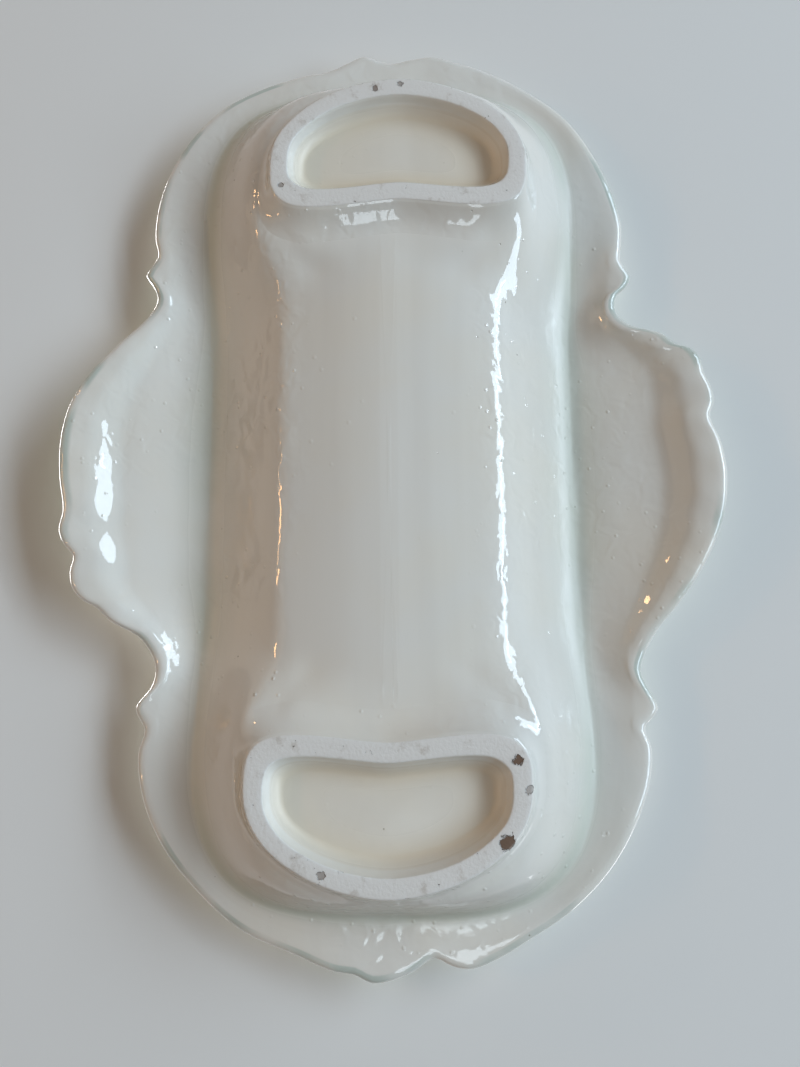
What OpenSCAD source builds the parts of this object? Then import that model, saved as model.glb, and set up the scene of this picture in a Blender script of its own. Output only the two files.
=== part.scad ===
// Asparagus dish: a long oval trough on two kidney-shaped foot rings, with
// flat flanges round both ends and a domed, shell-edged lobe on each long side.
// It stands on its feet at z = 0, with its length along X.

/* [Overall size] */
// Length over both end flanges
dish_length = 360; // [320:1:420]
// Width over both side lobes
dish_width = 250; // [230:1:290]
// Height from the table to the crest beside the trough
dish_height = 38.5; // [35:0.5:46]
// Thickness of the fired clay
wall = 5.5; // [4.5:0.25:6.5]

/* [Rim] */
// Width of the flat flange round both ends
flange_width = 20.5; // [16:0.5:24]
// Width of a side lobe, from crest to edge
lobe_width = 53.5; // [46:0.5:58]
// How much lower the crest is at the ends than beside the trough's middle
end_drop = 7; // [4:0.5:9]
// How much lower the flange's edge is than the crest at the ends
flange_drop = 1; // [0:0.25:3]
// How much lower a lobe's edge is at its middle than at its waists
lobe_droop = 5.5; // [0:0.25:8]
// Radius that softens the rim's edge
edge_round = 1.8; // [1.2:0.1:2.1]

/* [Trough] */
// Outside width across the trough's bottom
floor_width = 77; // [72:1:84]
// How much higher the bottom's corners are than its centre line
floor_rise = 6.5; // [4:0.5:8]
// How far each end wall leans out, from the foot's seat to the crest
end_wall_run = 9.5; // [7:0.5:13]
// How far each side wall leans out at the ends, from the foot's seat to the crest
side_wall_run = 17.6; // [15:0.5:20]
// How far the trough sits towards end A, as the hand-finished mould left it
body_shift = 1.5; // [-3:0.5:3]

/* [Feet] */
// Height of the foot rings
foot_height = 6; // [4.5:0.5:8]
// Width of a foot ring, across the dish
foot_width = 95.6; // [86:0.2:104]
// Depth of a foot ring, measured on its middle line
foot_depth = 49.4; // [44:0.2:54]
// How far the ends of a foot ring bend towards the dish's middle
foot_bend = 12.5; // [8:0.5:15]
// Width of the flat face that a ring stands on
foot_face = 6.8; // [5:0.2:9]
// How far a ring widens up to its seat
foot_flare = 3; // [2:0.25:4]
// How much further it widens on its hollow side
foot_hollow_flare = 5; // [2:0.5:6]
// How far the wall inside a ring leans in up to its seat
foot_lean = 2.7; // [1.5:0.1:4]
// Rounding at the edges of the standing face
foot_edge = 0.5; // [0.3:0.1:0.8]
// Sideways shift of foot ring A
foot_shift_a = 4; // [-4:0.5:4]
// Sideways shift of foot ring B
foot_shift_b = -1; // [-4:0.5:4]

/* [Asparagus relief] */
// Radius of a moulded asparagus spear
spear_radius = 5.4; // [4:0.1:5.8]
// Gap between two spears that lie side by side
spear_gap = 0.6; // [0.4:0.1:1.4]
// Depth of a bract's step in a spear's head
bract_step = 0.7; // [0.3:0.1:1]
// Length of the closed head of a spear
head_length = 44; // [30:1:54]
// Least distance from a spear's ends to the end of the straight floor
spear_end_gap = 4; // [2:0.5:10]

/* [Hidden] */

// The rim's edge, drawn by hand as shares of the half length and half width.
// Each list runs from the waist where its piece begins to the next waist.
lobe_a_shares = [
    [0.375, 0.71], [0.345, 0.725], [0.325, 0.76], [0.315, 0.81], [0.305, 0.85],
    [0.28, 0.885], [0.27, 0.93], [0.245, 0.955], [0.215, 0.96], [0.17, 0.98],
    [0.145, 0.98], [0.12, 0.965], [0.06, 0.99], [-0.03, 1], [-0.105, 0.98],
    [-0.185, 0.93], [-0.27, 0.85], [-0.335, 0.775], [-0.375, 0.745]];
end_b_shares = [
    [-0.41, 0.73], [-0.44, 0.745], [-0.465, 0.765], [-0.485, 0.775], [-0.505, 0.755],
    [-0.52, 0.735], [-0.56, 0.75], [-0.61, 0.745], [-0.7, 0.7], [-0.79, 0.62],
    [-0.865, 0.51], [-0.92, 0.385], [-0.955, 0.295], [-0.975, 0.205], [-0.97, 0.165],
    [-0.955, 0.115], [-0.975, 0.065], [-0.995, -0.005], [-1, -0.06], [-0.985, -0.11],
    [-0.98, -0.16], [-0.95, -0.27], [-0.9, -0.435], [-0.825, -0.565], [-0.735, -0.67],
    [-0.635, -0.73], [-0.56, -0.74], [-0.52, -0.725], [-0.5, -0.74], [-0.48, -0.755],
    [-0.46, -0.74], [-0.44, -0.715]];
lobe_b_shares = [
    [-0.405, -0.7], [-0.36, -0.72], [-0.33, -0.755], [-0.315, -0.795], [-0.3, -0.835],
    [-0.27, -0.88], [-0.26, -0.91], [-0.235, -0.945], [-0.2, -0.955], [-0.165, -0.945],
    [-0.145, -0.97], [-0.115, -0.99], [-0.075, -0.98], [0, -0.995], [0.08, -1],
    [0.15, -0.985], [0.23, -0.93], [0.3, -0.85], [0.36, -0.775]];
end_a_shares = [
    [0.41, -0.74], [0.445, -0.76], [0.465, -0.78], [0.49, -0.76], [0.51, -0.745],
    [0.55, -0.755], [0.625, -0.75], [0.72, -0.71], [0.805, -0.64], [0.875, -0.54],
    [0.92, -0.42], [0.95, -0.29], [0.965, -0.19], [0.985, -0.13], [1, -0.08],
    [0.99, -0.04], [0.98, 0.005], [0.99, 0.08], [0.995, 0.145], [0.98, 0.225],
    [0.95, 0.335], [0.9, 0.46], [0.835, 0.575], [0.74, 0.665], [0.635, 0.725],
    [0.56, 0.745], [0.515, 0.74], [0.485, 0.735], [0.465, 0.75], [0.445, 0.765],
    [0.42, 0.745], [0.405, 0.72]];

// Distance between two points of the drawn edge, as a share of the length
edge_step_share = 0.0155;
// Where the middle lines of the rim's rays begin, as a share of the ray's end
spine_share = 0.62;
// Half width of the edge at the ends' shoulders, as a share of the half width
shoulder_share = 0.745;
// Straight half length of the trough, as a share of the crest's half length
straight_share = 0.55;
// Straight half length of the floor inside, as a share of the crest's half length
floor_straight_share = 0.652;
// How much of the bottom's curve the floor inside follows
floor_follow_share = 0.9;
// How much of its own rise the floor inside keeps at the ends
floor_end_share = 0.25;
// Roundness of the trough's ends: 2 is an ellipse, more is squarer
end_power = 3.6;
// Rounds of halving that find where a ray crosses a ring
halvings = 18;

half_length = dish_length / 2;
half_width = dish_width / 2;
crest_length = half_length - flange_width;
crest_width = half_width - lobe_width;
crest_end_width = half_width * shoulder_share - flange_width;
crest_height = dish_height - wall;
crest_end_height = crest_height - end_drop;
edge_height = crest_end_height - flange_drop;
straight_half = crest_length * straight_share;
floor_straight_half = crest_length * floor_straight_share;
half_floor = floor_width / 2;
seat_length = crest_length - end_wall_run;
seat_width = crest_end_width - side_wall_run;
spear_pitch = 2 * spear_radius + spear_gap;
spear_rows = 3;
edge_step = dish_length * edge_step_share;
lobe_reach = half_length * lobe_a_shares[0][0];

function mix(a, b, t) = a + (b - a) * t;
function clamp(v) = min(1, max(0, v));
function ease(t) = let (c = clamp(t)) c * c * (3 - 2 * c);
function sum_of(list) = [for (v = list) 1] * list;

// A smooth closed curve through the drawn points
shares = concat(lobe_a_shares, end_b_shares, lobe_b_shares, end_a_shares);
drawn = [for (s = shares) [s[0] * half_length, s[1] * half_width]];
drawn_count = len(drawn);
function drawn_point(i) = drawn[(i + drawn_count) % drawn_count];
function chord(i) = norm(drawn_point(i + 1) - drawn_point(i));
function slope(i) =
    let (before = chord(i - 1), after = chord(i))
    ((drawn_point(i) - drawn_point(i - 1)) * after / before
     + (drawn_point(i + 1) - drawn_point(i)) * before / after) / (before + after);
function curve(i, t) =
    let (a = drawn_point(i), b = drawn_point(i + 1), c = chord(i))
    a * (1 + 2 * t) * pow(1 - t, 2) + slope(i) * c * t * pow(1 - t, 2)
    + b * t * t * (3 - 2 * t) - slope(i + 1) * c * t * t * (1 - t);
steps = [for (i = [0 : drawn_count - 1]) max(1, round(chord(i) / edge_step))];
rough_edge = [for (i = [0 : drawn_count - 1]) for (k = [0 : steps[i] - 1]) curve(i, k / steps[i])];
function reach(points, axis) = [min([for (p = points) p[axis]]), max([for (p = points) p[axis]])];
reach_x = reach(rough_edge, 0);
reach_y = reach(rough_edge, 1);
function fit(v, span, half) = (2 * v - span[0] - span[1]) / (span[1] - span[0]) * half;
edge = [for (p = rough_edge) [fit(p[0], reach_x, half_length), fit(p[1], reach_y, half_width)]];
rays = len(edge);
function steps_before(n) = n == 0 ? 0 : sum_of([for (i = [0 : n - 1]) steps[i]]);
end_b_ray = steps_before(len(lobe_a_shares));
lobe_b_ray = steps_before(len(lobe_a_shares) + len(end_b_shares));
end_a_ray = steps_before(len(lobe_a_shares) + len(end_b_shares) + len(lobe_b_shares));
end_a_tip = [for (i = [end_a_ray : rays - 2]) if (edge[i][1] < 0 && edge[i + 1][1] >= 0) i][0];
spine = [for (p = edge) [p[0] * spine_share, 0]];

// A ring of the trough is [half width and height at the middle, half width,
// half length and height at the ends, straight half length, where the one
// begins to turn into the other, where it has done so].
function ring(mid, end, straight, turn) =
    [mid[0], mid[1], end[0], end[1], end[2], straight, turn[0], turn[1]];
function turned(r, x) = ease((abs(x) - r[6]) / (r[7] - r[6]));
function outside(r, p) =
    let (x = abs(p[0] - body_shift),
         along = max(0, x - r[5]) / (r[3] - r[5]),
         across = abs(p[1]) / mix(r[0], r[2], turned(r, x)))
    pow(along, end_power) + pow(across, end_power);
function crossing(r, a, b, low = 0, high = 1, left = halvings) =
    let (middle = (low + high) / 2)
    left == 0 ? mix(a, b, middle)
    : outside(r, mix(a, b, middle)) > 1 ? crossing(r, a, b, low, middle, left - 1)
    : crossing(r, a, b, middle, high, left - 1);
function ring_loop(r) =
    [for (i = [0 : rays - 1])
        let (p = crossing(r, spine[i], edge[i]))
        [p[0], p[1], mix(r[1], r[4], turned(r, p[0] - body_shift))]];

// The underside: bottom rings, which are level under the feet, then the walls.
// Rows are [share of the half floor, share of the seat's width, share of its length].
bottom_shares = [[0.36, 0.36, 0.58], [0.78, 0.73, 0.81], [1, 1, 1]];
bottom_turn_shares = [0.75, 0.955];
bottom_rings = [for (s = bottom_shares)
    ring([half_floor * s[0], foot_height + floor_rise * s[0] * s[0]],
         [seat_width * s[1], mix(straight_half, seat_length, s[2]), foot_height],
         straight_half, bottom_turn_shares * straight_half)];
// Rows are [plan and rise share at the middle, plan and rise share at the ends,
// where the turn starts and ends, in straight half lengths].
wall_shares = [[0.2, 0.2, 0.12, 0.13, 0.68, 1.02], [0.56, 0.7, 0.57, 0.625, 0.57, 1.19],
               [0.775, 0.925, 0.9, 0.915, 0.51, 1.27], [1, 1, 1, 1, 0.455, 1.307]];
corner_height = foot_height + floor_rise;
wall_rings = [for (s = wall_shares)
    ring([mix(half_floor, crest_width, s[0]), mix(corner_height, crest_height, s[1])],
         [mix(seat_width, crest_end_width, s[2]), mix(seat_length, crest_length, s[2]),
          mix(foot_height, crest_end_height, s[3])],
         straight_half, [s[4], s[5]] * straight_half)];
under_loops = [for (r = concat(bottom_rings, wall_rings)) ring_loop(r)];
crest_under = under_loops[len(under_loops) - 1];
crest_top = [for (p = crest_under) [p[0], p[1], p[2] + wall]];

// The inside: a floor of flat strips for the spears, then the walls
floor_bottom = foot_height + wall;
function floor_height(y) = floor_bottom + floor_follow_share * floor_rise * pow(y / half_floor, 2);
floor_end_lengths_share = [0.27, 0.43, 0.6];
floor_turn_shares = [1.005, 1.25];
function floor_ring(row) =
    let (y = spear_pitch * row, low = floor_height(spear_pitch))
    ring([y, floor_height(y)],
         [y, mix(floor_straight_half, crest_length, floor_end_lengths_share[row - 1]),
          mix(low, floor_height(y), floor_end_share)],
         floor_straight_half, floor_turn_shares * floor_straight_half);
floor_rings = [for (row = [1 : spear_rows]) floor_ring(row)];
// Rows are as in wall_shares, from the floor's edge to the crest.
inner_wall_shares = [[0.1, 0.13, 0.41, 0.09, 0.75, 1.14], [0.52, 0.67, 0.67, 0.43, 0.57, 1.25],
                     [0.74, 0.915, 0.85, 0.84, 0.51, 1.27]];
floor_edge = spear_pitch * spear_rows;
floor_end_length = floor_rings[spear_rows - 1][3];
floor_end_height = floor_rings[spear_rows - 1][4];
inner_rings = [for (s = inner_wall_shares)
    ring([mix(floor_edge, crest_width, s[0]), mix(floor_height(floor_edge), dish_height, s[1])],
         [mix(floor_edge, crest_end_width, s[2]), mix(floor_end_length, crest_length, s[2]),
          mix(floor_end_height, crest_end_height + wall, s[3])],
         mix(floor_straight_half, straight_half, s[1]), [s[4], s[5]] * straight_half)];
inside_loops = [for (r = concat(floor_rings, inner_rings)) ring_loop(r)];

function reversed(list) = [for (i = [len(list) - 1 : -1 : 0]) list[i]];

// Triangles between loops that follow each other, each of n points
function loop_faces(loops, n, closed) =
    [for (j = [0 : loops - (closed ? 1 : 2)]) for (i = [0 : n - 1])
        let (a = j * n + i, b = j * n + (i + 1) % n,
             c = (j + 1) % loops * n + (i + 1) % n, d = (j + 1) % loops * n + i)
        for (f = [[a, d, c], [a, c, b]]) f];
// Triangles that close a long flat loop, zipped up from the end at point start
function zip_faces(n, start) =
    [for (f = concat([[0, 1, n - 1]],
                     [for (i = [1 : floor((n - 1) / 2)])
                         each [[i, i + 1, n - i], [i + 1, n - i - 1, n - i]]]))
        if (f[0] < f[1] && f[1] < f[2]) [for (k = f) (k + start) % n]];

module trough() {
    loops = concat(under_loops, [crest_top], reversed(inside_loops));
    last = (len(loops) - 1) * rays;
    color("Ivory")
    polyhedron(
        points = [for (l = loops) for (p = l) p],
        faces = concat(
            loop_faces(len(loops), rays, false),
            zip_faces(rays, end_a_tip),
            [for (f = zip_faces(rays, end_a_tip)) [last + f[2], last + f[1], last + f[0]]]),
        convexity = 6);
}

// The rim: each ray's section runs out along the underside and back on top
rim_shares = [0.15, 0.33, 0.55, 0.66, 0.77];
rim_bend_power = 1.25;
// On the lobes a steeper band makes a part of the drop. These are that part, and
// where the band starts and how wide it is as shares of the rim's width.
band_share = 0.3;
band_start_share = 0.55;
band_width_share = 0.22;
function lobe_part(x) = max(0, 1 - pow(x / lobe_reach, 2));
function rim_drop(t, lobe) =
    mix(ease(pow(t, rim_bend_power)), ease((t - band_start_share) / band_width_share),
        band_share * sqrt(lobe));
function rim_section(i) =
    let (v = crest_under[i], o = edge[i], flat = [v[0], v[1]],
         inner = 1 - edge_round / norm(o - flat),
         lobe = lobe_part(o[0]),
         low = edge_height - lobe_droop * lobe,
         drop = v[2] - low)
    concat(
        [v],
        [for (t = rim_shares) [each mix(flat, o, t), v[2] - drop * rim_drop(t, lobe)]],
        [[each mix(flat, o, inner), low],
         [o[0], o[1], low + edge_round],
         [o[0], o[1], low + wall - edge_round],
         [each mix(flat, o, inner), low + wall]],
        [for (t = reversed(rim_shares)) [each mix(flat, o, t), v[2] + wall - drop * rim_drop(t, lobe)]],
        [crest_top[i]]);

module rim_piece(first, last) {
    sections = [for (i = [first : last]) rim_section(i % rays)];
    n = len(sections[0]);
    count = len(sections);
    polyhedron(
        points = [for (s = sections) for (p = s) p],
        faces = concat(
            [for (i = [0 : count - 2]) for (j = [0 : n - 1])
                let (a = i * n + j, b = (i + 1) * n + j,
                     c = (i + 1) * n + (j + 1) % n, d = i * n + (j + 1) % n)
                for (f = [[a, d, c], [a, c, b]]) f],
            [[for (j = [n - 1 : -1 : 0]) j]],
            [[for (j = [0 : n - 1]) (count - 1) * n + j]]),
        convexity = 6);
}

module side_lobe_a() { color("OldLace") rim_piece(0, end_b_ray); }
module end_rim_b() { color("Linen") rim_piece(end_b_ray, lobe_b_ray); }
module side_lobe_b() { color("OldLace") rim_piece(lobe_b_ray, end_a_ray); }
module end_rim_a() { color("Linen") rim_piece(end_a_ray, rays); }

// A foot ring's kidney outline, a squarish oval bent along its width
foot_sides = 72;
foot_power = 2 / 3;
bend_power = 1.6;
foot_centre = seat_length - foot_flare - foot_depth / 2;
function signed_power(v, p) = sign(v) * pow(abs(v), p);
function kidney(angle) =
    let (across = signed_power(sin(angle), foot_power))
    [foot_depth / 2 * signed_power(cos(angle), foot_power) - foot_bend * pow(abs(across), bend_power),
     foot_width / 2 * across];
function kidney_angle(k) = (k + 0.5) * 360 / foot_sides;
function kidney_normal(k) =
    let (along = kidney(kidney_angle(k + 1)) - kidney(kidney_angle(k - 1)))
    [along[1], -along[0]] / norm(along);
// Rows are [share of the height above the table, outward growth] up a ring's sides.
inner_side = [[1, -foot_face - foot_lean], [0.5, -foot_face - foot_lean * 0.35],
              [0.16, -foot_face - foot_lean * 0.1], [foot_edge / foot_height, -foot_face]];
outer_side = [[foot_edge / foot_height, 0], [0.2, foot_flare * 0.1], [0.55, foot_flare * 0.35],
              [0.82, foot_flare * 0.67], [1, foot_flare]];
foot_rows = concat(inner_side, [[0, foot_edge - foot_face], [0, -foot_edge]], outer_side);

module foot_ring(shift) {
    points = [for (row = foot_rows) for (k = [0 : foot_sides - 1])
        let (n = kidney_normal(k),
             hollow = foot_hollow_flare * pow(row[0], 2) * pow(max(0, -n[0]), 2),
             grow = row[1] + (row[1] > 0 ? hollow : 0),
             p = kidney(kidney_angle(k)) + n * grow)
        [p[0], p[1], row[0] * foot_height]];
    translate([foot_centre, shift, 0])
    polyhedron(points = points, faces = loop_faces(len(foot_rows), foot_sides, true), convexity = 4);
}

module foot_ring_a() {
    color("AntiqueWhite")
    translate([body_shift, 0, 0])
    foot_ring(foot_shift_a);
}

module foot_ring_b() {
    color("AntiqueWhite")
    translate([body_shift, 0, 0])
    rotate(180)
    foot_ring(-foot_shift_b);
}

// Asparagus spears lie in the floor's strips, half round, with stepped heads.
// Each row of the table is [free share at the butt, free share at the tip].
spear_free_shares = [[0.05, 0.1], [0, 0.03], [0.06, 0], [0.02, 0.045], [0.07, 0.01], [0, 0.08]];
spear_room = 2 * (floor_straight_half - spear_end_gap);
// Rows are [share of the head's length, share of the radius, bract steps in].
head_shares = [[0, 0.93, 0], [0.16, 1, 0], [0.18, 1, 1], [0.36, 0.98, 0], [0.38, 0.98, 1],
               [0.54, 0.88, 0], [0.56, 0.88, 1], [0.7, 0.73, 0], [0.72, 0.73, 1],
               [0.86, 0.48, 0], [0.95, 0.28, 0]];
// Rows are [share of the stem's length, share of the radius, bract steps in].
stem_shares = [[0, 0.9, 0], [0.02, 0.97, 0], [0.3, 0.97, 0], [0.36, 1, 0], [0.37, 1, 0.5],
               [0.66, 0.92, 0], [0.72, 0.97, 0], [0.73, 0.97, 0.5]];

module spear(length) {
    stem = length - head_length;
    profile = concat(
        [[0, 0]],
        [for (s = stem_shares) [spear_radius * s[1] - bract_step * s[2], stem * s[0]]],
        [for (s = head_shares)
            [spear_radius * s[1] - bract_step * s[2], stem + head_length * s[0]]],
        [[0, length]]);
    rotate([90, 0, 90])
    rotate_extrude(angle = 180)
    polygon(profile);
}

module asparagus_spear(number) {
    side = number > spear_rows ? 1 : -1;
    strip = side > 0 ? number - spear_rows : spear_rows + 1 - number;
    outer = [spear_pitch * strip, floor_height(spear_pitch * strip)];
    inner = [spear_pitch * (strip - 1),
             floor_height(spear_pitch * max(1, strip - 1))];
    lean = atan2(outer[1] - inner[1], outer[0] - inner[0]);
    middle = (inner + outer) / 2;
    free = spear_free_shares[number - 1];
    length = spear_room * (1 - free[0] - free[1]);
    color("DarkSeaGreen")
    translate([body_shift - spear_room / 2 + spear_room * free[0], side * middle[0], middle[1]])
    rotate([side * lean, 0, 0])
    spear(length);
}

trough();
end_rim_a();
end_rim_b();
side_lobe_a();
side_lobe_b();
foot_ring_a();
foot_ring_b();
asparagus_spear(1);  // asparagus_spear_1
asparagus_spear(2);  // asparagus_spear_2
asparagus_spear(3);  // asparagus_spear_3
asparagus_spear(4);  // asparagus_spear_4
asparagus_spear(5);  // asparagus_spear_5
asparagus_spear(6);  // asparagus_spear_6
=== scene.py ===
"""An asparagus dish of cream glazed earthenware, seen from below: the glazed body,
its two foot rings, and the moulded spears that lie in the trough.

The dish stands on its feet at z = 0, with its length along X. Shapes are worked out
in millimetres and put into the meshes in metres.
"""

import bpy
import numpy as np
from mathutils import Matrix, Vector


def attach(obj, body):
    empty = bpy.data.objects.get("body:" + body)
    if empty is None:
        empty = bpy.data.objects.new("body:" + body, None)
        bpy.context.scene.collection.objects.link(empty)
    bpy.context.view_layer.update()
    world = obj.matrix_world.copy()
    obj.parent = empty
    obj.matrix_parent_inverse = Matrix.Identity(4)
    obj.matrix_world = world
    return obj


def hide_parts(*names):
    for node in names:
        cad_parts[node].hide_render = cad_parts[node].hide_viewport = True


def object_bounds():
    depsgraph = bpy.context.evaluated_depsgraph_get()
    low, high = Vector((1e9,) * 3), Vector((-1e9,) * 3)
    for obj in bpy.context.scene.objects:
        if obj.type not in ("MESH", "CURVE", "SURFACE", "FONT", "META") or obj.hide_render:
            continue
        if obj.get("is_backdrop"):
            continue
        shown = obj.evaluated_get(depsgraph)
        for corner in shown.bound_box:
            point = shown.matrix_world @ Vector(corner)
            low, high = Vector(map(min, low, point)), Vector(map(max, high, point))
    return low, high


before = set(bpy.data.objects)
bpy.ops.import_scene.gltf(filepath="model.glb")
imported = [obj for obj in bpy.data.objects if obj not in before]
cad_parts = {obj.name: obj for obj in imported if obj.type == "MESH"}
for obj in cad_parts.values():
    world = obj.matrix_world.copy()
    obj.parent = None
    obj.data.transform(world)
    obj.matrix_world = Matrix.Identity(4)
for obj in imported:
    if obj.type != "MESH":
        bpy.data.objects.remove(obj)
cad_low, cad_high = (list(corner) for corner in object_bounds())

MM = 0.001

# Overall sizes, from the frame
half_length = (cad_high[0] - cad_low[0]) / 2 / MM
half_width = (cad_high[1] - cad_low[1]) / 2 / MM
dish_height = cad_high[2] / MM

# Clay, rim and trough, in millimetres
wall = 5.5
flange_width = 20.5
lobe_width = 53.5
end_drop = 7.0
flange_drop = 1.0
lobe_droop = 7.5
floor_width = 77.0
floor_rise = 6.5
bottom_spread = 1.5
end_wall_run = 9.5
side_wall_run = 17.6
seat_inset = 3.5
body_shift = 1.5
spear_pitch = 11.4
settle_height = 0.16
settle_sizes = (61, 43, 97)

# Feet, in millimetres
foot_height = 6.0
foot_width = 95.6
foot_depth = 49.4
foot_bend = 12.5
foot_face = 6.8
foot_end_gap = 3.0
foot_shift_a = 4.0
foot_shift_b = -1.0
face_waver = 0.12
skirt_run = 6.4
hollow_skirt_run = 6.0
recess_extra = 1.2
recess_wall_run = 6.0
recess_dish = 0.3
recess_middle_shift = 3.0

# Shares and powers that the shape follows
spine_share = 0.62
shoulder_share = 0.745
straight_share = 0.55
floor_straight_share = 0.652
floor_curve_share = 0.9
floor_fall_share = 0.25
bottom_turn_shares = (0.84, 1.02)
floor_turn_shares = (1.005, 1.25)
end_power = 3.6
bend_power = 1.6
outer_side_power = 0.7
hollow_side_power = 0.76
edge_round_power = 0.8

# The rim's fall from the crest to its edge. On the lobes a part of it comes in a
# steeper band near the edge
rim_bend_power = 1.25
band_share = 0.32
band_start_share = 0.62
band_width_share = 0.26

# Flutes along the lobes' edges: their pitch in rays, depth, place and unevenness
flute_rays = 7
flute_depth = 0.3
flute_share = 0.82
flute_width_share = 0.13
flute_waver = 0.6
flute_waver_sizes = (23, 37)

# The grids: the step along the rim's edge, rows of the body, and columns of a foot
edge_step = 2.3
middle_rows = 18
wall_rows = 56
rim_rows = 34
edge_rows = 9
inside_rows = 46
foot_columns = 300
crest_row = middle_rows + wall_rows - 1
edge_row = crest_row + rim_rows
top_crest_row = edge_row + edge_rows + rim_rows - 2

# Sizes that follow from these
crest_length = half_length - flange_width
crest_width = half_width - lobe_width
crest_end_width = half_width * shoulder_share - flange_width
crest_height = dish_height - wall
crest_end_height = crest_height - end_drop
edge_height = crest_end_height - flange_drop
straight_half = crest_length * straight_share
floor_straight_half = crest_length * floor_straight_share
half_floor = floor_width / 2
half_bottom = half_floor + bottom_spread
floor_bottom = foot_height + wall
corner_height = foot_height + floor_rise
seat_length = crest_length - end_wall_run
seat_width = crest_end_width - side_wall_run - seat_inset
foot_centre = seat_length - foot_end_gap - foot_depth / 2

# The rim's edge, drawn as shares of the half length and half width
lobe_a_shares = [
    (0.375, 0.71), (0.345, 0.725), (0.325, 0.76), (0.315, 0.81), (0.305, 0.85),
    (0.28, 0.885), (0.27, 0.93), (0.245, 0.955), (0.215, 0.96), (0.17, 0.98),
    (0.145, 0.98), (0.12, 0.965), (0.06, 0.99), (-0.03, 1), (-0.105, 0.98),
    (-0.185, 0.93), (-0.27, 0.85), (-0.335, 0.775), (-0.375, 0.745)]
end_b_shares = [
    (-0.41, 0.73), (-0.44, 0.745), (-0.465, 0.765), (-0.485, 0.775), (-0.505, 0.755),
    (-0.52, 0.735), (-0.56, 0.75), (-0.61, 0.745), (-0.7, 0.7), (-0.79, 0.62),
    (-0.865, 0.51), (-0.92, 0.385), (-0.955, 0.295), (-0.975, 0.205), (-0.97, 0.165),
    (-0.955, 0.115), (-0.975, 0.065), (-0.995, -0.005), (-1, -0.06), (-0.985, -0.11),
    (-0.98, -0.16), (-0.95, -0.27), (-0.9, -0.435), (-0.825, -0.565), (-0.735, -0.67),
    (-0.635, -0.73), (-0.56, -0.74), (-0.52, -0.725), (-0.5, -0.74), (-0.48, -0.755),
    (-0.46, -0.74), (-0.44, -0.715)]
lobe_b_shares = [
    (-0.405, -0.7), (-0.36, -0.72), (-0.33, -0.755), (-0.315, -0.795), (-0.3, -0.835),
    (-0.27, -0.88), (-0.26, -0.91), (-0.235, -0.945), (-0.2, -0.955), (-0.165, -0.945),
    (-0.145, -0.97), (-0.115, -0.99), (-0.075, -0.98), (0, -0.995), (0.08, -1),
    (0.15, -0.985), (0.23, -0.93), (0.3, -0.85), (0.36, -0.775)]
end_a_shares = [
    (0.41, -0.74), (0.445, -0.76), (0.465, -0.78), (0.49, -0.76), (0.51, -0.745),
    (0.55, -0.755), (0.625, -0.75), (0.72, -0.71), (0.805, -0.64), (0.875, -0.54),
    (0.92, -0.42), (0.95, -0.29), (0.965, -0.19), (0.985, -0.13), (1, -0.08),
    (0.99, -0.04), (0.98, 0.005), (0.99, 0.08), (0.995, 0.145), (0.98, 0.225),
    (0.95, 0.335), (0.9, 0.46), (0.835, 0.575), (0.74, 0.665), (0.635, 0.725),
    (0.56, 0.745), (0.515, 0.74), (0.485, 0.735), (0.465, 0.75), (0.445, 0.765),
    (0.42, 0.745), (0.405, 0.72)]


def mix(a, b, t):
    """A straight blend from a to b."""
    return a + (b - a) * t


def ease(t):
    """The smooth step 3t^2 - 2t^3, held at 0 and 1 outside its range."""
    t = np.clip(t, 0, 1)
    return t * t * (3 - 2 * t)


def hump(v, middle, reach):
    """A bell of height 1 round the middle: exp(-((v - middle) / reach)^2)."""
    return np.exp(-((v - middle) / reach) ** 2)


def waves(x, y, sizes):
    """A smooth unevenness: the mean of sine waves, each as long as its size, and each
    slanted 2.1 radians further and started 1.7 radians later than the one before."""
    total = 0
    for i, size in enumerate(sizes):
        slant = 0.9 + 2.1 * i
        along = x * np.cos(slant) + y * np.sin(slant)
        total = total + np.sin(2 * np.pi * along / size + 1.7 * i)
    return total / len(sizes)


def closed_curve(points, step):
    """Cubic pieces through a closed list of points, one sample about every step.

    The slope at a point is the mean of the slopes of the chords on its two sides,
    each weighted by the other's length."""
    after = np.roll(points, -1, axis=0)
    chord = np.linalg.norm(after - points, axis=1)
    before_chord = np.roll(chord, 1)
    unit = (after - points) / chord[:, None]
    before_unit = np.roll(unit, 1, axis=0)
    weight = (before_chord / (before_chord + chord))[:, None]
    slope = before_unit * (1 - weight) + unit * weight
    counts = np.maximum(1, np.round(chord / step)).astype(int)
    i = np.repeat(np.arange(len(points)), counts)
    t = np.concatenate([np.arange(n) / n for n in counts])[:, None]
    j = (i + 1) % len(points)
    length = chord[i][:, None]
    return (points[i] * (1 + 2 * t) * (1 - t) ** 2 + slope[i] * length * t * (1 - t) ** 2
            + points[j] * t * t * (3 - 2 * t) - slope[j] * length * t * t * (1 - t))


def fitted(values, half):
    """Values stretched and moved to run from -half to half."""
    low, high = values.min(), values.max()
    return (2 * values - low - high) / (high - low) * half


drawn = np.array(lobe_a_shares + end_b_shares + lobe_b_shares + end_a_shares)
edge = closed_curve(drawn * (half_length, half_width), edge_step)
edge = np.column_stack([fitted(edge[:, 0], half_length), fitted(edge[:, 1], half_width)])
rays = len(edge)
spine = np.column_stack([edge[:, 0] * spine_share, np.zeros(rays)])


def ring(mid, end, straight, turn):
    """One row of a ring table: width and height at the middle, width, length and
    height at the ends, straight half length, and where the one turns into the other."""
    return [mid[0], mid[1], end[0], end[1], end[2], straight, turn[0], turn[1]]


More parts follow.
